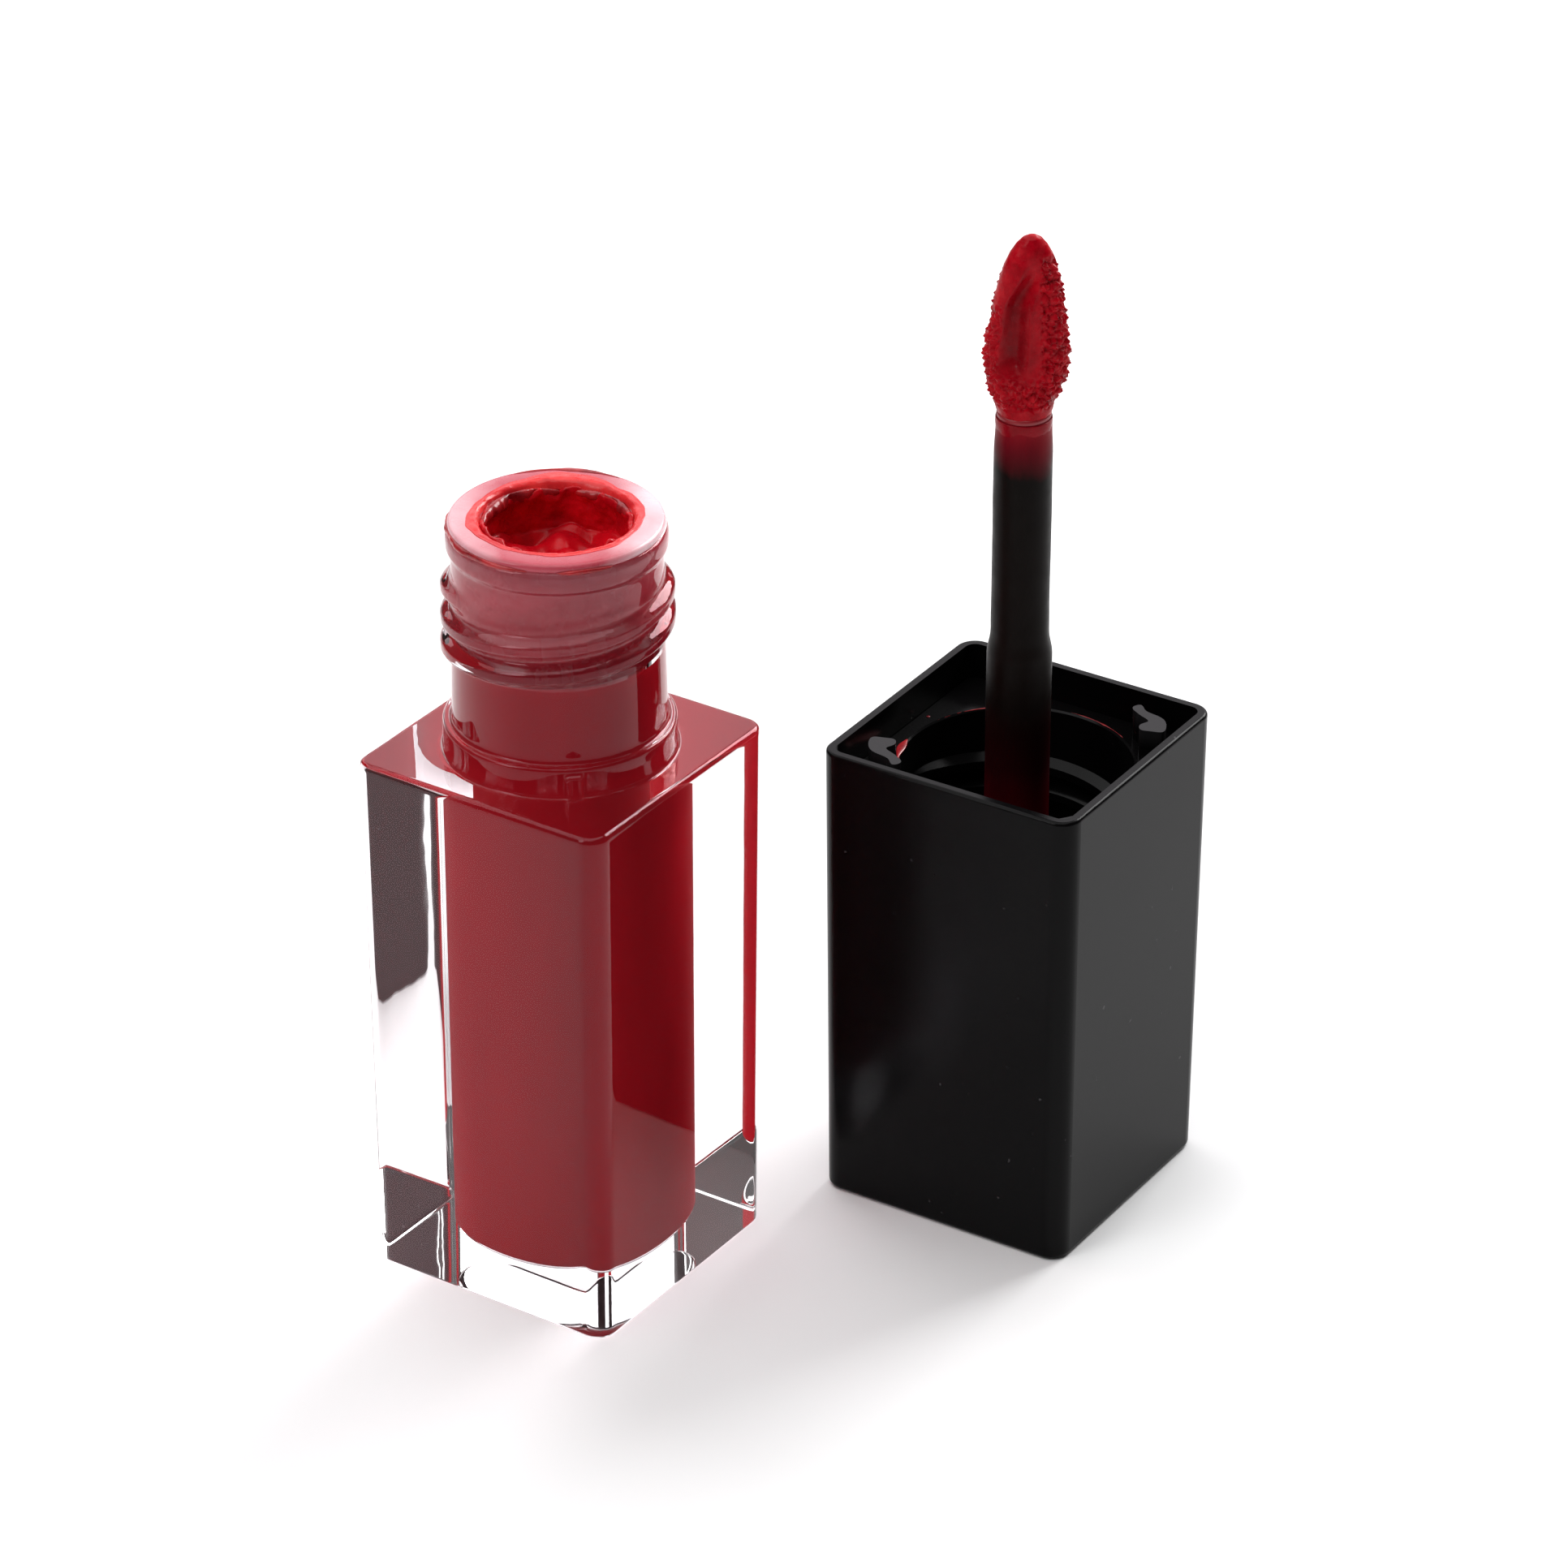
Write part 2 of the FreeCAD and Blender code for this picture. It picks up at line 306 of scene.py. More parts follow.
def black_gloss():
    """The cap's outer shell, with a few specks of dust."""
    m = Mat("black_gloss", (0.002, 0.0018, 0.002), 0.2, Specular_IOR_Level=0.08)
    specks = m.noise(1500, 2.0, 0.5)
    m.colour(m.ramp(specks, [(0.745, (0.002, 0.0018, 0.002)), (0.79, (0.05, 0.048, 0.05))]))
    m.roughness(m.remap(m.noise(90, 3.0), 0.3, 0.7, 0.17, 0.26))
    m.bump(m.noise(5200, 3.0, 0.6), 0.05, 0.00004)
    return m.m


def insert_black():
    """The insert in the cap, painted a little paler towards its top as painted sheen from the light above.
    """
    m = Mat("insert_black", (0.002, 0.0018, 0.002), 0.14, Specular_IOR_Level=0.1)
    # Painted sheen: the upper faces get a paler black for the light that they catch from above.
    top = m.remap(m.axis("Z"), 0.0335, 0.0345, 0.0, 1.0)
    m.colour(m.mix(top, (0.003, 0.0028, 0.003), (0.016, 0.015, 0.016)))
    m.roughness(m.remap(m.noise(300, 3.0), 0.3, 0.7, 0.1, 0.2))
    m.bump(m.noise(2500, 2.0), 0.03, 0.00004)
    return m.m


def liner_foam():
    m = Mat("liner_foam", (0.02, 0.018, 0.018), 0.85, Specular_IOR_Level=0.2)
    cells = m.noise(3000, 2.0)
    m.colour(m.ramp(cells, [(0.3, (0.01, 0.009, 0.009)), (0.7, (0.022, 0.02, 0.02))]))
    m.bump(cells, 0.3, 0.0001)
    return m.m


def stem_plastic():
    """Black rod, stained by the colour at its root and towards the applicator."""
    m = Mat("stem_plastic", (0.004, 0.0025, 0.002), 0.4, Specular_IOR_Level=0.06)
    height = m.math("ADD", m.axis("Z"), m.wobble(330, (1, 1, 0.3), 0.004))
    low, high = 0.018, 0.061
    along = m.remap(height, low, high, 0.0, 1.0)

    def at(mm):
        return (mm * MM - low) / (high - low)

    m.colour(m.ramp(along, [
        (at(18), (0.13, 0.0, 0.004)),
        (at(29), (0.075, 0.0, 0.003)),
        (at(33), (0.02, 0.001, 0.002)),
        (at(38), (0.005, 0.0025, 0.002)),
        (at(55.6), (0.004, 0.0025, 0.002)),
        (at(57.4), (0.11, 0.001, 0.006)),
        (at(59.0), (0.24, 0.002, 0.009)),
    ]))
    m.roughness(m.remap(m.noise(800, 3.0), 0.3, 0.7, 0.34, 0.48))
    m.bump(m.noise(700, 2.0), 0.05, 0.00005)
    return m.m


def flock():
    """Flock soaked in colour; the hollow of the broad face is painted deep and dark as painted shade."""
    m = Mat("flock", (0.34, 0.001, 0.008), 0.42, Specular_IOR_Level=0.1)
    cloud = m.noise(900, 4.0, 0.65)
    m.colour(m.ramp(cloud, [
        (0.3, (0.26, 0.0, 0.004)),
        (0.5, (0.38, 0.001, 0.008)),
        (0.75, (0.52, 0.006, 0.014)),
    ]))
    middle = float(CAP[0] * RIGHTWARD[0] + CAP[1] * RIGHTWARD[1]) * MM
    # Painted shade: the middle of the hollow on the broad face is mixed towards a dark red, fading out
    # towards its edges, its foot and its top.
    hollow_middle = middle - 0.0006
    from_hollow_middle = m.math("ABSOLUTE", m.math("SUBTRACT", m.rightward(), hollow_middle), 0.0)
    painted_shade = m.remap(from_hollow_middle, 0.0004, 0.0013, 0.62, 0.0)
    low = m.remap(m.axis("Z"), 0.0612, 0.0635, 0.0, 1.0)
    high = m.remap(m.axis("Z"), 0.0665, 0.0705, 1.0, 0.0)
    painted_shade = m.math("MULTIPLY", painted_shade, m.math("MULTIPLY", low, high))
    m.colour(m.mix(painted_shade, m.base_colour(), (0.1, 0.0, 0.002)))
    m.roughness(m.remap(m.noise(1600, 2.0), 0.35, 0.65, 0.16, 0.5))
    m.bump(m.noise(4200, 3.0, 0.7), 0.3, 0.00008)
    return m.m


def core_plastic():
    m = Mat("core_plastic", (0.25, 0.002, 0.008), 0.4)
    m.colour(m.ramp(m.noise(700, 3.0), [(0.3, (0.2, 0.001, 0.006)), (0.7, (0.28, 0.003, 0.01))]))
    return m.m


def pale_floor():
    m = Mat("pale_floor", (0.9, 0.9, 0.9), 0.6, Specular_IOR_Level=0.15)
    m.colour(m.ramp(m.noise(6, 2.0), [(0.3, (0.885, 0.883, 0.885)), (0.7, (0.905, 0.904, 0.906))]))
    return m.m


MATERIALS = {
    "clear": clear_plastic(),
    "fill": colour_in_bottle(),
    "wet": wet_colour("wet_colour", (0.34, 0.001, 0.006), (0.6, 0.003, 0.01), 0.1),
    "film": wet_colour("film_colour", (0.6, 0.012, 0.018), (0.9, 0.045, 0.045), 0.2),
    "stain": wet_colour("stain_colour", (0.19, 0.0, 0.004), (0.27, 0.001, 0.008), 0.08),
    "smear": wet_colour("smear_colour", (0.18, 0.002, 0.006), (0.5, 0.02, 0.025)),
    "wiper": wiper_plastic(),
    "black": black_gloss(),
    "insert": insert_black(),
    "liner": liner_foam(),
    "stem": stem_plastic(),
    "flock": flock(),
    "core": core_plastic(),
    "floor": pale_floor(),
}


def dress(obj, material):
    """Gives an object this material alone."""
    obj.data.materials.clear()
    obj.data.materials.append(MATERIALS[material])


def add(obj, material, body, slot, *replaced):
    """Dresses a mesh, ties it to its body and hides the CAD nodes that it replaces; the slot is not used."""
    dress(obj, material)
    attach(obj, body)
    if replaced:
        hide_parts(*replaced)
    return obj


# ---------------------------------------------------------------- bottle

HALF = 10.1  # half the block's side at its shoulder
CORNER = 1.5  # radius of its upright corners
FOOT_ROUND = 0.2
EDGE_ROUND = 0.5
SHOULDER = 39.5
DRAFT = math.tan(math.radians(0.4))
CAVITY_FOOT = 2.3  # height of the cavity's floor
CAVITY_ROUND = 0.5
BORE = 5.95
NECK_FOOT = 7.27  # radius of the neck above the ring; it narrows to NECK
NECK = 7.1
LUG_ANGLE = math.radians(-47.5)
RING = 7.9  # radius of the ring on the shoulder
LUG_HALF_WIDTH = (0.42, 0.6)  # full height inside the first, nothing beyond the second
LUG_PROUD = 0.3
RIDGES = ((150.0, 46.7, 1.29), (50.0, 47.6, 1.07))  # start in degrees, lowest height, turns
LEAD = 4.0
RUNOUT = 45  # degrees over which a ridge fades at each end
SKIN = 0.03  # how far the fill and the insert reach into the clear wall
MOUTH = 5.1  # radius of the insert's mouth


def square_outline():
    """Points and outward normals round the block's shoulder, denser in its corners."""
    points, normals = [], []
    flat = HALF - CORNER
    for k in range(4):
        turn = math.pi / 2 * k
        cos, sin = math.cos(turn), math.sin(turn)
        local = []
        for t in np.linspace(-1, 1, 49)[:-1]:
            local.append(((HALF, flat * t), (1.0, 0.0)))
        for a in np.linspace(0, math.pi / 2, 17)[:-1]:
            n = (math.cos(a), math.sin(a))
            local.append(((flat + CORNER * n[0], flat + CORNER * n[1]), n))
        for (x, y), (nx, ny) in local:
            points.append((x * cos - y * sin, x * sin + y * cos))
            normals.append((nx * cos - ny * sin, nx * sin + ny * cos))
    return np.array(points), np.array(normals)


OUTLINE, OUTWARD = square_outline()
ANGLES = np.arctan2(OUTLINE[:, 1], OUTLINE[:, 0])


def square_ring(inset, z):
    """The block's outline at a height, drawn in by an inset."""
    scale = (HALF - (SHOULDER - z) * DRAFT) / HALF
    xy = OUTLINE * scale - OUTWARD * inset
    return np.column_stack([xy, np.full(len(xy), z)])


def blend_ring(a, b, t):
    return a * (1 - t) + b * t


def thread_height(angles, z, crest=0.75, half_width=0.95):
    """How far the threads stand out of the neck at a height."""
    best = np.zeros_like(angles)
    degrees = np.degrees(angles)
    for start, bottom, turns in RIDGES:
        total = 360 * turns
        for lap in range(3):
            turned = (degrees - start) % 360 + 360 * lap
            fade = np.minimum(turned / RUNOUT, (total - turned) / RUNOUT)
            fade = smoothstep(0, 1, fade) * (turned <= total)
            away = np.abs(z - (bottom + LEAD * turned / 360)) / half_width
            shape = 1 - smoothstep(0.25, 1.0, away)
            best = np.maximum(best, crest * fade * shape)
    return best


def make_bottle():
    """Block, shoulder, ring, neck with threads and bead, and back down through the cavity."""
    foot = square_ring(FOOT_ROUND, 0.0)
    rings = [foot * np.array([s, s, 1]) for s in (0.02, 0.5, 0.9, 0.985)]
    for a in np.linspace(0, math.pi / 2, 7):
        rings.append(square_ring(FOOT_ROUND * (1 - math.sin(a)), FOOT_ROUND * (1 - math.cos(a))))
    for z in (0.24, 1.0, 6, 14, 22, 30, 37, 38.8, 38.94):
        rings.append(square_ring(0.0, z))
    for a in np.linspace(0, math.pi / 2, 8):
        lift = EDGE_ROUND * math.sin(a)
        rings.append(square_ring(EDGE_ROUND * (1 - math.cos(a)), SHOULDER - EDGE_ROUND + lift))
    edge = square_ring(0.56, SHOULDER)
    ring_foot = circle_ring(ANGLES, 8.12, SHOULDER)
    for t in (0.0, 0.1, 0.4, 0.7, 0.93, 1.0):
        rings.append(blend_ring(edge, ring_foot, t))
    away = np.abs((ANGLES - LUG_ANGLE + math.pi) % (2 * math.pi) - math.pi) * RING
    lug = LUG_PROUD * (1 - smoothstep(*LUG_HALF_WIDTH, away))
    for r, z in ((8.03, 39.53), (7.96, 39.6), (7.92, 39.72), (RING, 39.9), (RING, 40.4), (RING, 41.0)):
        rings.append(circle_ring(ANGLES, r + lug, z))
    for z in (41.12, 41.2, 41.3):
        rings.append(circle_ring(ANGLES, RING + lug * (41.3 - z) / 0.18, z))
    for a in np.linspace(0, math.pi / 2, 6):
        rings.append(circle_ring(ANGLES, 7.65 + 0.25 * math.cos(a), 41.45 + 0.25 * math.sin(a)))
    for r, z in ((7.58, 41.7), (7.5, 41.71), (7.4, 41.76), (7.32, 41.86), (7.28, 42.0)):
        rings.append(circle_ring(ANGLES, r, z))
    for z in np.arange(42.2, 53.3, 0.13):
        r = NECK_FOOT - (NECK_FOOT - NECK) * smoothstep(42, 51, z)
        rings.append(circle_ring(ANGLES, r + thread_height(ANGLES, z), z))
    bead_and_rim = (
        (7.1, 53.5), (7.1, 53.9), (7.11, 54.1), (7.16, 54.25), (7.26, 54.38), (7.35, 54.5), (7.41, 54.65),
        (7.43, 54.85), (7.43, 55.3), (7.42, 55.5), (7.37, 55.7), (7.29, 55.84), (7.18, 55.92), (7.05, 55.95),
        (6.6, 55.95), (6.1, 55.95), (5.99, 55.9), (BORE, 55.8), (BORE, 55.6),
    )
    for r, z in bead_and_rim:
        rings.append(circle_ring(ANGLES, r, z))
    for z in (54, 50, 46, 42, 37, 25, 12, 5, 2.9):
        rings.append(circle_ring(ANGLES, BORE, z))
    for a in np.linspace(0, math.pi / 2, 8):
        r = BORE - CAVITY_ROUND + CAVITY_ROUND * math.cos(a)
        z = CAVITY_FOOT + CAVITY_ROUND - CAVITY_ROUND * math.sin(a)
        rings.append(circle_ring(ANGLES, r, z))
    for r in (5.3, 4.5, 3, 1.5, 0.1):
        rings.append(circle_ring(ANGLES, r, CAVITY_FOOT))
    return ring_mesh("bottle_clear", rings)


def make_fill():
    """The colour wets the cavity's wall, so its skin lies just inside the plastic; its foot stays clear."""
    angles = np.linspace(0, 2 * math.pi, 160, endpoint=False)
    rings = [circle_ring(angles, r, 2.36) for r in (0.1, 2, 4, 5.0, 5.3, 5.42)]
    for r, z in ((5.55, 2.38), (5.68, 2.43), (5.8, 2.5), (5.9, 2.6), (BORE + SKIN, 2.72)):
        rings.append(circle_ring(angles, r, z))
    for z in (2.9, 5, 20, 37, 40, 44, 46, 46.6):
        rings.append(circle_ring(angles, BORE + SKIN, z))
    for r, z in ((5.9, 46.9), (5.7, 47.0), (3.0, 47.0), (0.1, 47.0)):
        rings.append(circle_ring(angles, r, z))
    return ring_mesh("colour_fill", rings)


def make_wiper():
    """The insert as it shows: flange on the rim and tube behind the neck's wall."""
    angles = np.linspace(0, 2 * math.pi, 160, endpoint=False)
    wall = BORE + SKIN
    tube = [(MOUTH, 46.8), (5.7, 46.8), (wall, 47.05), (wall, 50), (wall, 55.5)]
    under_flange = [(6.0, 55.93), (6.3, 55.93), (7.1, 55.93)]
    flange_edge = [(7.2, 55.99), (7.24, 56.05), (7.25, 56.12), (7.24, 56.25), (7.19, 56.37), (7.08, 56.46)]
    flange_face = [(6.9, 56.5), (6.3, 56.5), (5.7, 56.48), (5.4, 56.42), (5.22, 56.3), (5.12, 56.1)]
    mouth = [(MOUTH, 55.8), (MOUTH, 53), (MOUTH, 50), (MOUTH, 47.2)]
    profile = tube + under_flange + flange_edge + flange_face + mouth
    rings = [circle_ring(angles, r, z) for r, z in profile]
    rings.append(rings[0])
    return ring_mesh("wiper_soft", rings, False, False)


add(make_bottle(), "clear", "bottle", "clear_plastic", "bottle")
add(make_fill(), "fill", "bottle", "lip_colour", "lip_colour_fill")
add(make_wiper(), "wiper", "bottle", "wiper_plastic", "wiper_insert")


# Soft folds of colour in the throat: place, radius and relative height of each
LUMPS = (
    (-3.2, -0.4, 2.4, 1.0), (-1.4, 2.4, 2.3, 1.0), (1.2, 3.5, 2.0, 0.8), (3.4, 1.9, 2.0, 0.9),
    (0.6, 0.6, 2.1, 1.1), (-1.0, -1.4, 1.9, 0.8), (2.9, -1.0, 2.0, 0.8), (0.9, -3.1, 2.2, 0.8),
)


def throat_floor(x, y):
    """Height of the colour left in soft folds in the insert's throat."""
    total = 0.0
    for cx, cy, size, tall in LUMPS:
        bend = 0.5 * noise3(x, y, cx, 0.6, cy)
        d = math.hypot(x - cx + bend, y - cy - bend) / size
        total += (tall * (1 - d * d)) ** 3 if d < 1 else 0.0
    return 52.3 + 0.2 * fractal3(x, y, 0, 0.4, 3.1, 2) + 1.15 * total ** (1 / 3)


def make_throat():
    """Lumpy colour in the throat, with a film that climbs its wall to a thick ragged edge."""
    angles = np.linspace(0, 2 * math.pi, 260, endpoint=False)
    floor_edge = 4.85
    rings = []
    for r in np.linspace(0.05, floor_edge, 56):
        ring = circle_ring(angles, r, 0.0)
        for p in ring:
            p[2] = throat_floor(p[0], p[1]) + 0.9 * smoothstep(4.1, floor_edge, r)
        rings.append(ring)
    base = rings[-1][:, 2]
    for t in np.linspace(0.04, 1, 30):
        ring = circle_ring(angles, 5.0, 0.0)
        for j, p in enumerate(ring):
            x, y = p[0], p[1]
            edge = 56.15 + 0.45 * fractal3(x, y, 0, 0.75, 1.7)
            z = base[j] + (edge - base[j]) * t
            thick_edge = 0.16 * math.exp(-(((t - 0.86) / 0.12) ** 2))
            film = 0.2 + 0.2 * fractal3(x, y, z, 0.8, 5.5) + thick_edge
            film += 0.16 * max(0.0, noise3(x, y, z, 2.2, 2.0)) * smoothstep(0.55, 0.8, t)
            r = 5.08 - max(0.04, film)
            p[0], p[1], p[2] = r * math.cos(angles[j]), r * math.sin(angles[j]), z
        rings.append(ring)
    top = rings[-1]
    radius = np.hypot(top[:, 0], top[:, 1])
    in_the_wall = MOUTH + 0.04
    for share, lift in ((0.35, 0.06), (0.75, 0.03), (1.0, -0.1)):
        r = radius + (in_the_wall - radius) * share
        rings.append(circle_ring(angles, r, top[:, 2] + lift))
    rings.append(circle_ring(angles, in_the_wall, 51.6))
    rings.append(circle_ring(angles, 4.0, 50.6))
    return ring_mesh("colour_throat", rings)


def flange_top(radius):
    """Height of the insert's rounded mouth and flat flange at a radius."""
    return np.interp(radius, [MOUTH, 5.12, 5.22, 5.4, 5.7, 6.3], [55.9, 56.1, 56.3, 56.42, 56.48, 56.5])


def make_lip_film():
    """Bright film over the mouth's rounding and on the flange, wider at the left and back."""
    angles = np.linspace(0, 2 * math.pi, 260, endpoint=False)
    ragged = np.array([fractal3(math.cos(a), math.sin(a), 0, 1.3, 6.0) for a in angles])
    outer = np.clip(6.0 + 0.25 * np.cos(angles - math.radians(135)) + 0.5 * ragged, 5.7, 6.75)
    inner = 5.06
    rings = []
    for share in np.linspace(0, 1, 18):
        radius = inner + (outer - inner) * share
        ring = circle_ring(angles, radius, flange_top(radius))
        for p in ring:
            uneven = 1 + 0.7 * noise3(p[0], p[1], 0, 1.6, 3.0)
            body = 0.11 * math.sin(math.pi * min(1.0, share + 0.15)) * uneven
            p[2] += max(0.03, body) if share < 1 else -0.03
        rings.append(ring)
    rings.append(circle_ring(angles, outer - 0.1, flange_top(outer) - 0.15))
    rings.append(circle_ring(angles, 5.3, 56.1))
    rings.append(circle_ring(angles, inner, 55.8))
    rings.append(rings[0])
    return ring_mesh("colour_lip_film", rings, False, False)


def arc_smear(name, radius, z, start_deg, end_deg, half_width, thickness, seed, ragged):
    """A ragged smear of colour that follows a level circle; tapers to nothing at both ends."""
    count = max(24, int(abs(end_deg - start_deg) * 1.2))
    around = np.linspace(0, 2 * math.pi, 12, endpoint=False)
    rings = []
    for k in range(count + 1):
        t = k / count
        a = math.radians(start_deg + (end_deg - start_deg) * t)
        taper = math.sin(math.pi * min(max(t, 0.004), 0.996)) ** 0.5
        uneven = fractal3(math.cos(a) * 4, math.sin(a) * 4, seed, 0.9, seed)
        swell = taper * max(0.15, 1 + ragged * 1.8 * uneven)
        ring = []
        for b in around:
            r = radius + half_width * swell * math.cos(b)
            h = z + thickness * taper * math.sin(b)
            ring.append((r * math.cos(a), r * math.sin(a), h))
        rings.append(np.array(ring))
    return ring_mesh(name, rings)


def blob(name, centre, size, seed):
    """A small uneven drop."""
    around = np.linspace(0, 2 * math.pi, 20, endpoint=False)
    rings = []
    for k in range(1, 10):
        b = math.pi * k / 10
        ring = []
        for a in around:
            grow = 1 + 0.35 * noise3(math.cos(a) * 2, math.sin(a) * 2, b, 1.0, seed)
            ring.append((
                centre[0] + size[0] * grow * math.sin(b) * math.cos(a),
                centre[1] + size[1] * grow * math.sin(b) * math.sin(a),
                centre[2] + size[2] * grow * math.cos(b),
            ))
        rings.append(np.array(ring))
    return ring_mesh(name, rings)


add(make_throat(), "wet", "bottle", "lip_colour")
add(make_lip_film(), "film", "bottle", "lip_colour")
# Name, radius, height, first and last degree, half width, thickness, seed and raggedness
rim_smears = (
    ("colour_lip_roll_left", 4.88, 55.8, 122, 216, 0.3, 0.52, 8.0, 0.9),
    ("colour_lip_roll_right", 4.92, 55.85, 28, 116, 0.25, 0.4, 9.0, 0.9),
    ("colour_rim_left", 7.27, 56.0, 198, 290, 0.19, 0.24, 1.0, 0.6),
    ("colour_rim_front", 7.27, 55.98, 306, 336, 0.17, 0.17, 2.0, 0.6),
    ("colour_rim_back", 6.9, 56.5, 88, 150, 0.16, 0.07, 3.0, 0.6),
)
for name, *measures in rim_smears:
    add(arc_smear(name, *measures), "smear", "bottle", "lip_colour")

# ---------------------------------------------------------------- cap, stem and applicator

for node, material in (("cap_shell", "black"), ("inner_cap", "insert"), ("seal_liner", "liner")):
    dress(NODES[node], material)


def on_cap(ring):
    """Moves points drawn round the Z axis to the cap's axis, turned as the cap is."""
    moved = np.array(ring, float)
    cos, sin = math.cos(CAP_TURN), math.sin(CAP_TURN)
    x, y = moved[:, 0].copy(), moved[:, 1].copy()
    moved[:, 0] = CAP[0] + x * cos - y * sin
    moved[:, 1] = CAP[1] + x * sin + y * cos
    return moved


def stick_on_cap(obj):
    """Moves a smear that was drawn round the Z axis to the cap and dresses it."""
    coords = np.array([v.co for v in obj.data.vertices]) / MM
    obj.data.vertices.foreach_set("co", (on_cap(coords) * MM).ravel())
    add(obj, "smear", "wand_cap", "lip_colour")


PLATE = CAP_RIM - 2.65  # top of the insert's square plate
cap_smears = (
    ("colour_cap_left", 8.27, PLATE, -172, -142, 0.16, 0.06, 4.0, 0.9),
    ("colour_cap_arc", 8.3, PLATE - 0.02, 56, 96, 0.15, 0.05, 5.0, 0.9),
    ("colour_cap_back", 8.24, PLATE - 0.04, 98, 168, 0.05, 0.04, 6.0, 0.9),
    ("colour_cap_front", 8.26, PLATE, -52, -44, 0.1, 0.05, 7.0, 0.9),
)
for name, *measures in cap_smears:
    stick_on_cap(arc_smear(name, *measures))
cap_drops = (
    ("colour_cap_drop_key", (-6.85, -4.95, PLATE + 0.02), (0.34, 0.28, 0.07), 1.0),
    ("colour_cap_drop_side", (-7.35, -4.1, PLATE + 0.02), (0.22, 0.4, 0.06), 2.0),
    ("colour_cap_speck", (-8.62, 2.4, PLATE + 0.02), (0.14, 0.12, 0.05), 3.0),
)
for name, *measures in cap_drops:
    stick_on_cap(blob(name, *measures))


STEM_ROOT = 2.25  # radius of the stem's thick lower part
STEM = 2.0
STEM_END = 1.92


def make_stem():
    """Slightly uneven rod: thick root, short taper, thin part and the ball seat in its end."""
    angles = np.linspace(0, 2 * math.pi, 96, endpoint=False)
    rings = []
    profile = [(STEM_ROOT, z) for z in np.arange(17.3, 41.2, 0.7)]
    profile += [(STEM_ROOT, 41.3), (2.23, 41.6), (2.17, 41.9), (2.08, 42.3), (2.02, 42.7), (STEM, 43.1)]
    profile += [(STEM, z) for z in np.arange(43.7, 56.5, 0.6)]
    for z in np.arange(56.6, 58.7, 0.3):
        profile.append((STEM - (STEM - STEM_END) * smoothstep(56.6, 58.6, z), z))
    profile += [(STEM_END, 58.8), (STEM_END, 59.0), (STEM_END, 59.22)]
    profile += [(1.9, 59.27), (1.66, 58.58), (1.24, 58.1), (0.6, 57.75)]
    for r, z in profile:
        ring = circle_ring(angles, r, z)
        if 17.5 < z < 58.7:
            for p in ring:
                scale = 1 + 0.02 * fractal3(p[0], p[1], z, 0.28, 2.2, 2) / r
                p[0] *= scale
                p[1] *= scale
        rings.append(on_cap(ring))
    return ring_mesh("wand_stem", rings)


def make_stem_film():
    """Wet film of colour round the stem's end, kept below the seat."""
    angles = np.linspace(0, 2 * math.pi, 120, endpoint=False)
    rings = []
    low = np.array([58.5 + 0.35 * fractal3(math.cos(a), math.sin(a), 0, 1.2, 4.4) for a in angles])
    top = 59.24
    for share in np.linspace(0, 1, 16):
        film = 0.03 * math.sin(math.pi * 0.9 * share)
        radius = 1.915 + film + 0.01 * np.cos(angles * 3)
        rings.append(on_cap(circle_ring(angles, radius, low + (top - low) * share)))
    rings.append(on_cap(circle_ring(angles, 1.89, 59.2)))
    rings.append(on_cap(circle_ring(angles, 1.88, 58.9)))
    rings.append(rings[0])
    return ring_mesh("colour_stem_film", rings, False, False)


ACROSS = np.array([math.cos(FACING), math.sin(FACING), 0])  # along the leaf's width
OUT = np.array([math.sin(FACING), -math.cos(FACING), 0])  # out of its broad face


def make_core():
    """Moulded core: ball root in the stem's seat and a slim spine hidden in the flock."""
    angles = np.linspace(0, 2 * math.pi, 64, endpoint=False)
    ball = 1.87
    rows = []
    for b in np.linspace(0.03, math.pi / 2, 16):
        rows.append((ball * math.sin(b), ball * math.sin(b), -ball * math.cos(b)))
    rows += [(1.8, 1.8, 0.05), (1.3, 1.1, 0.5), (1.3, 0.7, 1.5), (1.4, 0.45, 3)]
    rows += [(1.3, 0.4, 6), (0.9, 0.35, 9), (0.3, 0.2, 11)]
    rings = []
    for half_width, half_depth, up_by in rows:
        middle = CAP + np.array([0, 0, PIVOT + up_by])
        ring = []
        for a in angles:
            ring.append(middle + ACROSS * (half_width * math.cos(a)) + OUT * (half_depth * math.sin(a)))
        rings.append(np.array(ring))
    return ring_mesh("applicator_spine", rings)


add(make_stem_film(), "stain", "wand_cap", "lip_colour")
add(make_stem(), "stem", "wand_cap", "stem_plastic", "stem")

# The leaf's outline: share of its length, half width and half depth
LEAF = (
    (0.00, 1.90, 1.88), (0.06, 2.12, 1.88), (0.13, 2.58, 1.86), (0.22, 2.88, 1.84), (0.34, 3.00, 1.82),
    (0.46, 2.82, 1.76), (0.60, 2.52, 1.64), (0.73, 2.20, 1.45), (0.83, 1.86, 1.25), (0.90, 1.50, 1.04),
    (0.95, 1.12, 0.82), (0.985, 0.70, 0.56), (1.00, 0.30, 0.26),
)
LEAN = 0.3  # how far the tip stands to one side


def bump_at(x, centre, half_width):
    """A smooth hump, one at its centre and nothing beyond its half width."""
    t = max(0.0, 1 - ((x - centre) / half_width) ** 2)
    return t * t


def dish_depth(u, s):
    """Depth of the hollow on the broad face; u runs across the leaf and s up it."""
    if s < 0.16 or s > 0.95:
        return 0.0
    along = smoothstep(0.17, 0.34, s) * (1 - smoothstep(0.66, 0.93, s))
    middle = -0.3 + 0.45 * smoothstep(0.6, 0.88, s)
    reach = 0.52 - 0.12 * s if u < middle else 0.36
    across = max(0.0, 1 - ((u - middle) / reach) ** 2) ** 1.6
    shallow = 0.25 * bump_at(u, 0.3, 0.5) * along
    return 0.9 * across * along + shallow


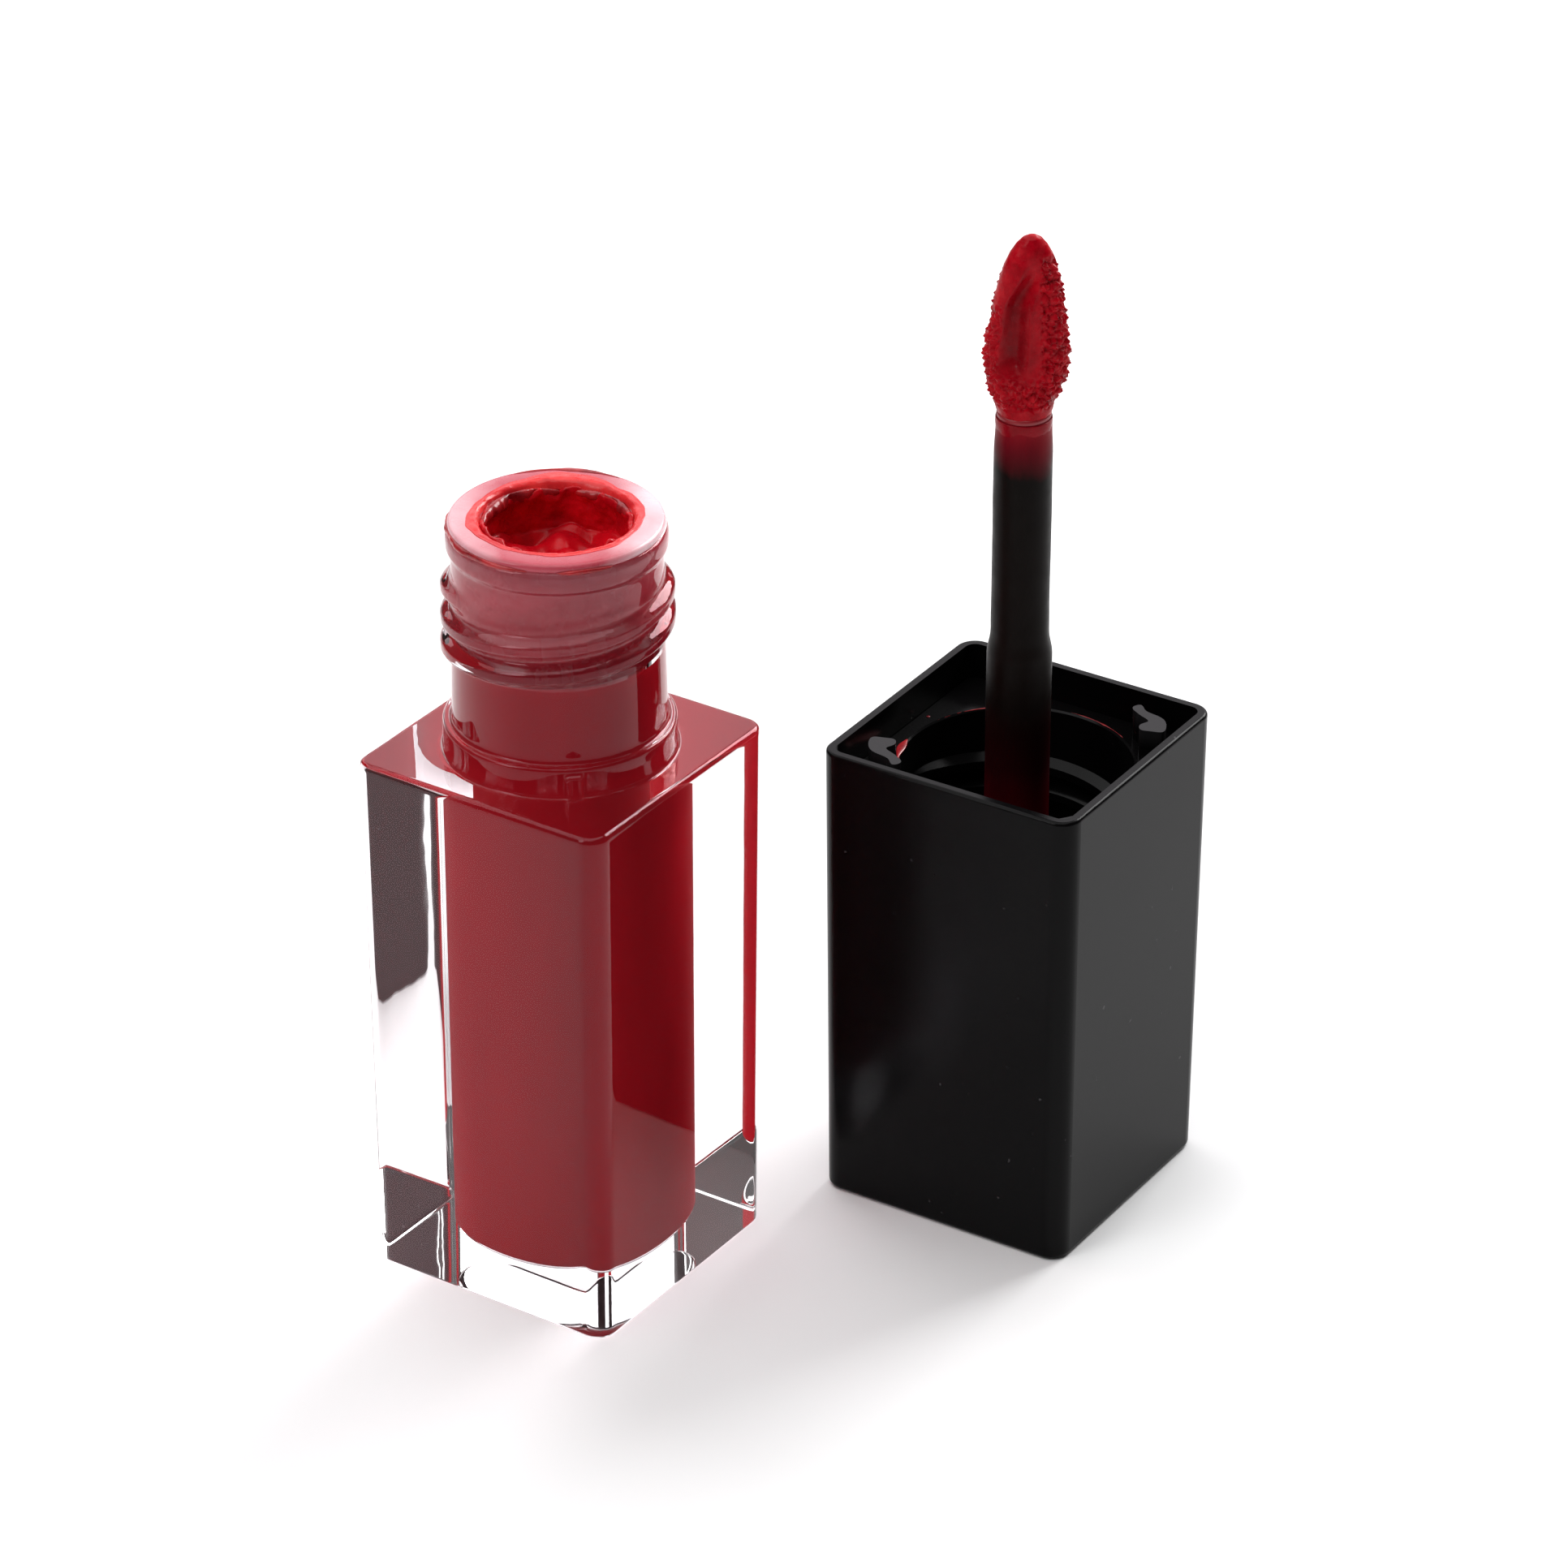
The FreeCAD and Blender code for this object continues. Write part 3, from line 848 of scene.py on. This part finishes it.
def roughness_at(u, v, s):
    """How shaggy the flock is: smooth where the colour has pooled, shaggy at the edges."""
    tip = 1 - smoothstep(0.74, 0.86, s)
    root = smoothstep(0.03, 0.1, s)
    if v < 0:
        return tip * root
    right = smoothstep(0.26, 0.45, u)
    left = smoothstep(0.62, 0.8, -u) * (1 - smoothstep(0.5, 0.66, s))
    low = 1 - smoothstep(0.17, 0.26, s)
    high_right = right * (1 - smoothstep(0.84, 0.92, s))
    return root * max(high_right, tip * left, low)


def make_flock():
    """Leaf-shaped flocked blade: pooled colour in a hollow, shaggy clumps round it."""
    shares = np.array([row[0] for row in LEAF])
    widths = np.array([row[1] for row in LEAF])
    depths = np.array([row[2] for row in LEAF])
    angles = np.linspace(0, 2 * math.pi, 340, endpoint=False)
    blade = np.linspace(0, 0.92, 230)[:-1]
    rounded_tip = 1 - 0.08 * np.cos(np.linspace(0, math.pi / 2, 40))
    length = TIP - PIVOT
    rings = []
    for s in np.concatenate([blade, rounded_tip]):
        half_width = np.interp(s, shares, widths)
        half_depth = np.interp(s, shares, depths)
        ring = []
        for a in angles:
            u, v = math.cos(a), math.sin(a)
            w = half_width * u
            d = half_depth * v
            if v > 0:
                d -= dish_depth(u, s) * min(1.0, v * 2.5)
            z = PIVOT + s * length
            rough = float(roughness_at(u, v, s))
            bend = 0.25 * noise3(w, d, z, 1.3, 11.0)
            cells = noise.voronoi(Vector((w * 2.0 + bend, d * 2.0 - bend, z * 2.2)))[0]
            clump = max(-0.6, 0.55 - 1.35 * cells[0])
            fine = noise.voronoi(Vector((w * 5 + 3, d * 5, z * 5)))[0][0]
            depth = 0.38 * clump + 0.12 * (0.4 - fine) + 0.05 * fractal3(w, d, z, 3.0, 4.0)
            soft = 0.05 * fractal3(w, d, z, 0.7, 6.0)
            grow = rough * depth + (1 - rough) * soft - 0.07
            w += grow * u
            d += grow * v
            p = CAP + ACROSS * (w + LEAN * s) + OUT * d
            ruffle = 0.12 * rough * noise3(w, d, z, 2.5, 9.0)
            p[2] = z + ruffle * (1 - smoothstep(0.85, 0.95, s))
            ring.append(p)
        rings.append(np.array(ring))
    return ring_mesh("applicator_flocked", rings)


add(make_core(), "core", "applicator", "core_plastic", "applicator_core")
add(make_flock(), "flock", "applicator", "flock", "applicator_flock")

# ---------------------------------------------------------------- stage, light and camera

BASE_GAP = 0.00004  # how far the floor lies below the base, in metres
bpy.ops.mesh.primitive_plane_add(size=6.0, location=(0, 0, -BASE_GAP))
floor = bpy.context.object
floor.name = "floor"
dress(floor, "floor")

AZIMUTH = math.radians(33.91)
PITCH = math.radians(29.21)
LENS = 151.323  # millimetres, as is SENSOR
SENSOR = 36.0
DISTANCE = 0.462735  # metres from the camera to the bottle's foot, along the view
# How far the bottle's foot lies left of and below the middle of the view, in metres
FOOT_LEFT = 0.015026
FOOT_BELOW = 0.031624

level = Vector((-math.sin(AZIMUTH), math.cos(AZIMUTH), 0))
forward = level * math.cos(PITCH) + Vector((0, 0, -math.sin(PITCH)))
right = Vector((math.cos(AZIMUTH), math.sin(AZIMUTH), 0))
up = right.cross(forward)
camera_data = bpy.data.cameras.new("camera")
camera_data.sensor_width = SENSOR
camera_data.lens = LENS
camera_data.clip_end = 20.0
camera_data.clip_start = 0.01
camera = bpy.data.objects.new("camera", camera_data)
camera.location = FOOT_LEFT * right + FOOT_BELOW * up - DISTANCE * forward
camera.rotation_euler = forward.to_track_quat("-Z", "Y").to_euler()
bpy.context.collection.objects.link(camera)
bpy.context.scene.camera = camera


def softbox(name, location, target, size, energy, tint=(1, 1, 1)):
    """A rectangular lamp that faces its target."""
    data = bpy.data.lights.new(name, "AREA")
    data.shape = "RECTANGLE"
    data.size, data.size_y = size
    data.energy = energy
    data.color = tint
    lamp = bpy.data.objects.new(name, data)
    lamp.location = location
    lamp.rotation_euler = (Vector(target) - Vector(location)).to_track_quat("-Z", "Y").to_euler()
    bpy.context.collection.objects.link(lamp)


def place(side, back, height):
    """A point given to the view's right, away from the viewer and up, in metres."""
    return tuple(right * side + level * back + Vector((0, 0, height)))


middle = (0.010, 0.012, 0.03)
softbox("top_box", place(-0.25, 0.1, 1.2), middle, (1.6, 1.6), 15.5)
softbox("left_box", place(-0.5, -0.35, 0.5), middle, (0.25, 0.4), 1.3)
softbox("back_box", place(0.45, 0.5, 0.5), middle, (0.4, 0.4), 5.6)
softbox("backdrop", place(-0.05, 0.9, 0.5), middle, (1.3, 0.55), 3.6, (1.0, 0.96, 1.0))

world = bpy.data.worlds.new("world")
bpy.context.scene.world = world
world.use_nodes = True
background = world.node_tree.nodes["Background"]
background.inputs["Color"].default_value = (1, 1, 1, 1)
background.inputs["Strength"].default_value = 0.1
bpy.context.scene.view_settings.view_transform = "Standard"
